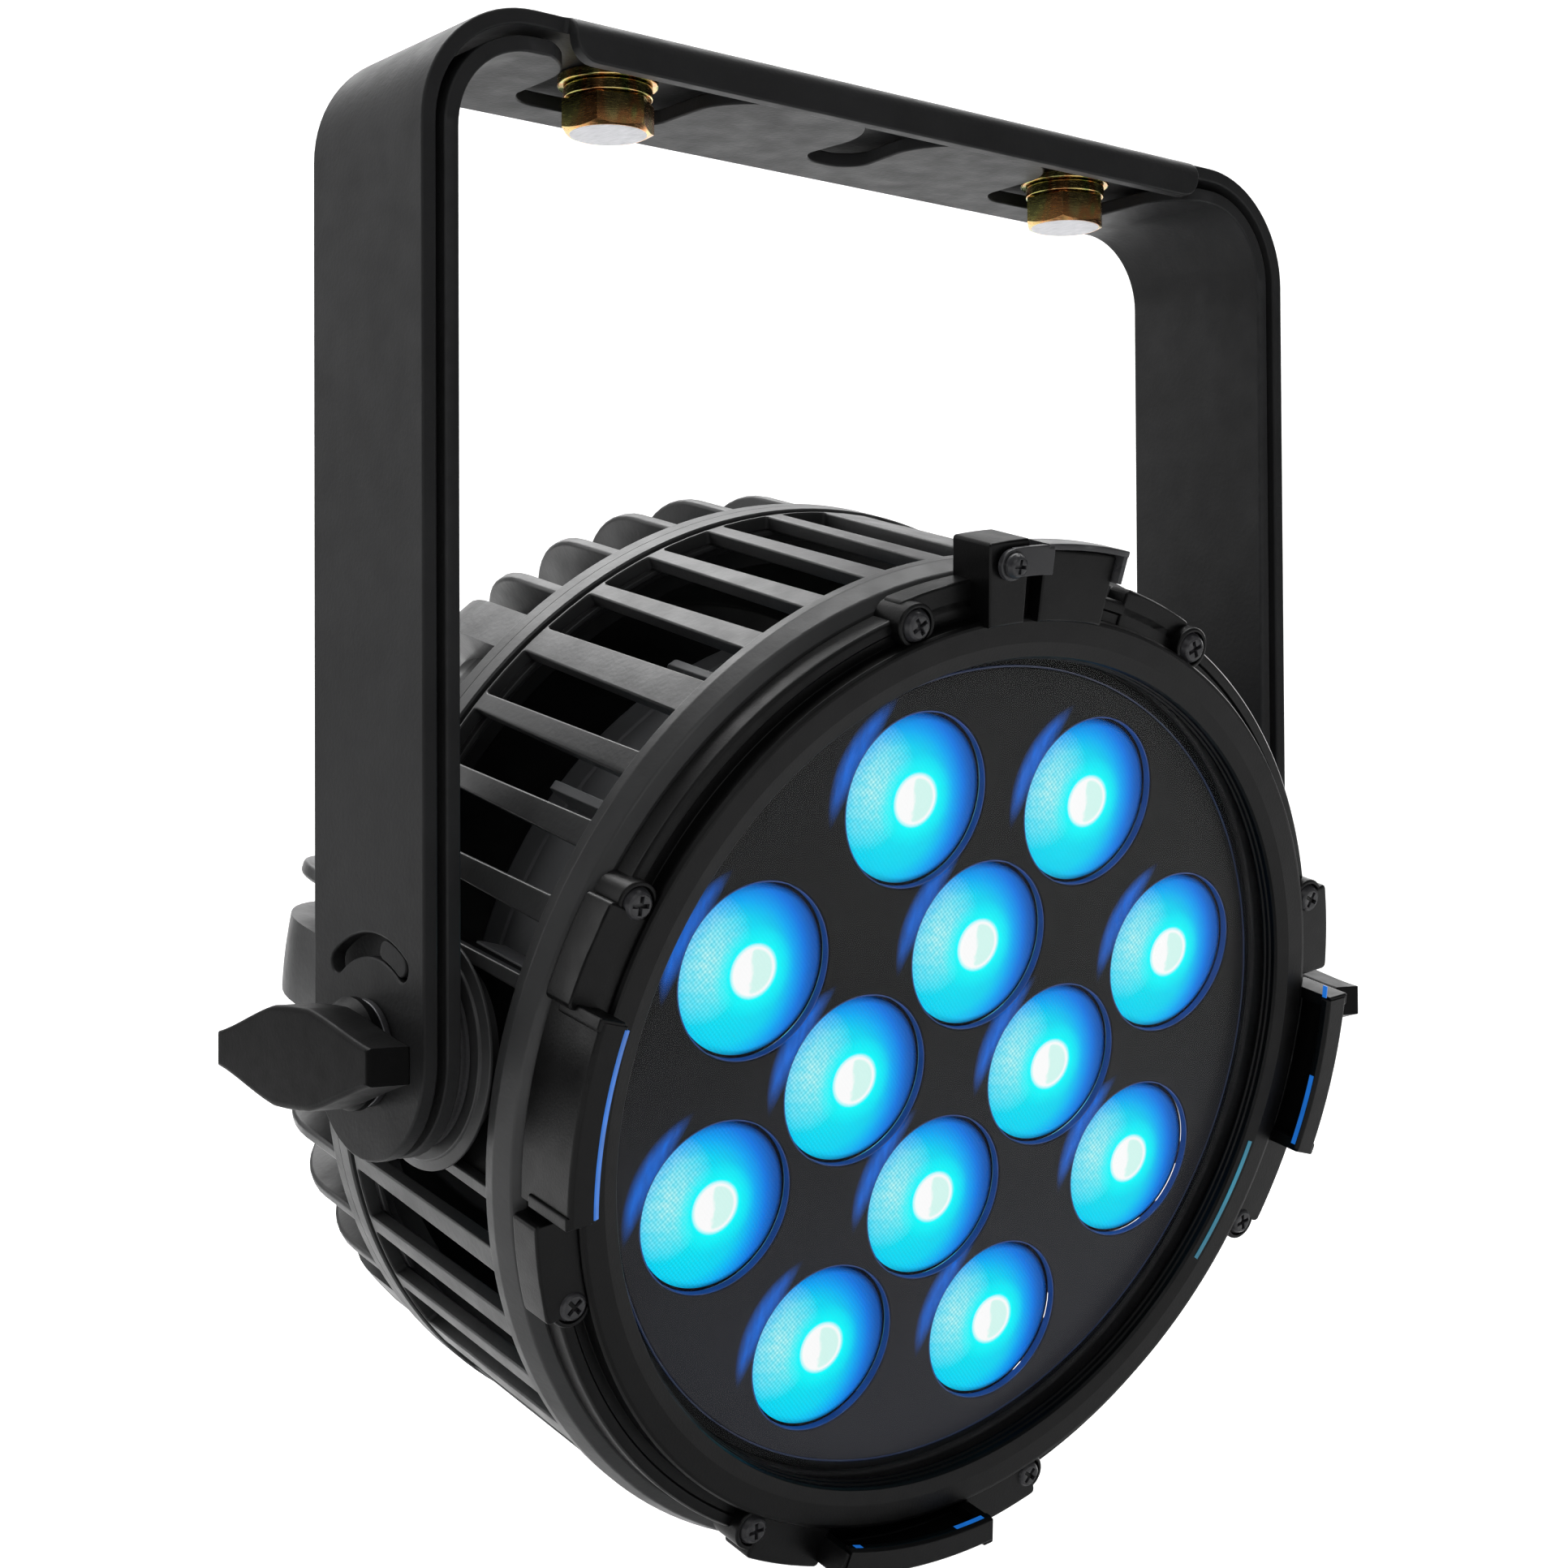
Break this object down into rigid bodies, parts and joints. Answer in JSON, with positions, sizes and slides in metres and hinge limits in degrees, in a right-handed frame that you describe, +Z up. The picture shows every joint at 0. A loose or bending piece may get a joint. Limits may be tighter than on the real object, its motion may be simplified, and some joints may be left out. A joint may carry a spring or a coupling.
{
  "type": "par can light",
  "caption": "Round lens-array stage light with a ventilated finned head, hung face-down in a double U-shaped yoke and clamped by two wing knobs",
  "frame": {"origin": "on the flat top face of the outer yoke, midway between its arms and between its front and rear edges, where the light meets the bar or clamp it hangs from", "axes": "+Z up, away from the head; +X to the right seen from the front; -Y is the way the light shines; the head's pivot axis is parallel to X, 221 mm below the origin"},
  "size_m": [0.3058, 0.1927, 0.3558],
  "materials": {
    "yoke_coat": "black satin powder coat",
    "housing_coat": "black satin powder coat on die-cast metal",
    "bezel_plastic": "black satin moulding",
    "knob_plastic": "black satin moulding",
    "yellow_zinc": "yellow-passivated zinc plate on steel, iridescent",
    "steel": "plain steel",
    "black_steel": "blackened steel",
    "rubber": "black rubber",
    "clear_glass": "clear toughened glass",
    "lens_plate_plastic": "glossy black moulding",
    "lens_blue": "clear moulded lens, lit blue",
    "board_white": "white solder mask on an aluminium board",
    "bare_aluminium": "bare cast and turned aluminium",
    "board_green": "green circuit board",
    "panel_plastic": "black satin moulding",
    "display_plastic": "dark glossy window",
    "connector_plastic": "black moulding"
  },
  "bodies": {
    "yoke": {"outer_yoke": "yoke_coat", "hanging_bolt_left": "yellow_zinc", "hanging_bolt_right": "yellow_zinc", "bolt_washer_left": "yellow_zinc", "bolt_washer_right": "yellow_zinc", "bolt_spring_washer_left": "yellow_zinc", "bolt_spring_washer_right": "yellow_zinc", "knob_washer_left": "steel", "knob_washer_right": "steel"},
    "inner_yoke": {"inner_yoke": "yoke_coat"},
    "head": {"main_housing": "housing_coat", "rear_cover": "housing_coat", "front_bezel": "bezel_plastic", "front_glass": "clear_glass", "glass_gasket": "rubber", "bezel_screw_1": "black_steel", "bezel_screw_2": "black_steel", "bezel_screw_3": "black_steel", "bezel_screw_4": "black_steel", "bezel_screw_5": "black_steel", "bezel_screw_6": "black_steel", "bezel_screw_7": "black_steel", "bezel_screw_8": "black_steel", "latch_screw": "steel", "lens_plate": "lens_plate_plastic", "lens_01": "lens_blue", "lens_02": "lens_blue", "lens_03": "lens_blue", "lens_04": "lens_blue", "lens_05": "lens_blue", "lens_06": "lens_blue", "lens_07": "lens_blue", "lens_08": "lens_blue", "lens_09": "lens_blue", "lens_10": "lens_blue", "lens_11": "lens_blue", "lens_12": "lens_blue", "led_board": "board_white", "heat_sink": "bare_aluminium", "driver_housing": "bare_aluminium", "driver_board": "board_green", "friction_disc_left": "rubber", "friction_disc_right": "rubber", "control_panel": "panel_plastic", "display_window": "display_plastic", "power_in": "connector_plastic", "power_out": "connector_plastic", "data_in": "connector_plastic", "data_out": "connector_plastic", "breather_vent": "connector_plastic", "safety_loop": "steel"},
    "knob_left": {"knob_left": "knob_plastic", "knob_stud_left": "steel"},
    "knob_right": {"knob_right": "knob_plastic", "knob_stud_right": "steel"},
    "latch": {"accessory_latch": "black_steel"},
    "button_menu": {"button_menu": "rubber"},
    "button_down": {"button_down": "rubber"},
    "button_up": {"button_up": "rubber"},
    "button_enter": {"button_enter": "rubber"}
  },
  "joints": [
    {"name": "head_tilt", "type": "hinge", "parent": "yoke", "child": "head", "pos_m": [0, 0, -0.221], "axis": [1, 0, 0], "range_deg": [-105, 75]},
    {"name": "inner_yoke_swing", "type": "hinge", "parent": "yoke", "child": "inner_yoke", "pos_m": [0, 0, -0.221], "axis": [-1, 0, 0], "range_deg": [0, 50]},
    {"name": "knob_left_turn", "type": "hinge", "parent": "head", "child": "knob_left", "pos_m": [-0.1344, 0, -0.221], "axis": [-1, 0, 0], "continuous": true},
    {"name": "knob_right_turn", "type": "hinge", "parent": "head", "child": "knob_right", "pos_m": [0.1344, 0, -0.221], "axis": [1, 0, 0], "continuous": true},
    {"name": "latch_swing", "type": "hinge", "parent": "head", "child": "latch", "pos_m": [-0.02208, -0.07943, -0.11775], "axis": [0, -0.9659, -0.2588], "range_deg": [0, 100]},
    {"name": "menu_press", "type": "slide", "parent": "head", "child": "button_menu", "axis": [0, -0.9659, -0.2588], "range_m": [0, 0.001], "stiffness_N_per_m": 800, "springref_m": -0.0005},
    {"name": "down_press", "type": "slide", "parent": "head", "child": "button_down", "axis": [0, -0.9659, -0.2588], "range_m": [0, 0.001], "stiffness_N_per_m": 800, "springref_m": -0.0005},
    {"name": "up_press", "type": "slide", "parent": "head", "child": "button_up", "axis": [0, -0.9659, -0.2588], "range_m": [0, 0.001], "stiffness_N_per_m": 800, "springref_m": -0.0005},
    {"name": "enter_press", "type": "slide", "parent": "head", "child": "button_enter", "axis": [0, -0.9659, -0.2588], "range_m": [0, 0.001], "stiffness_N_per_m": 800, "springref_m": -0.0005}
  ]
}
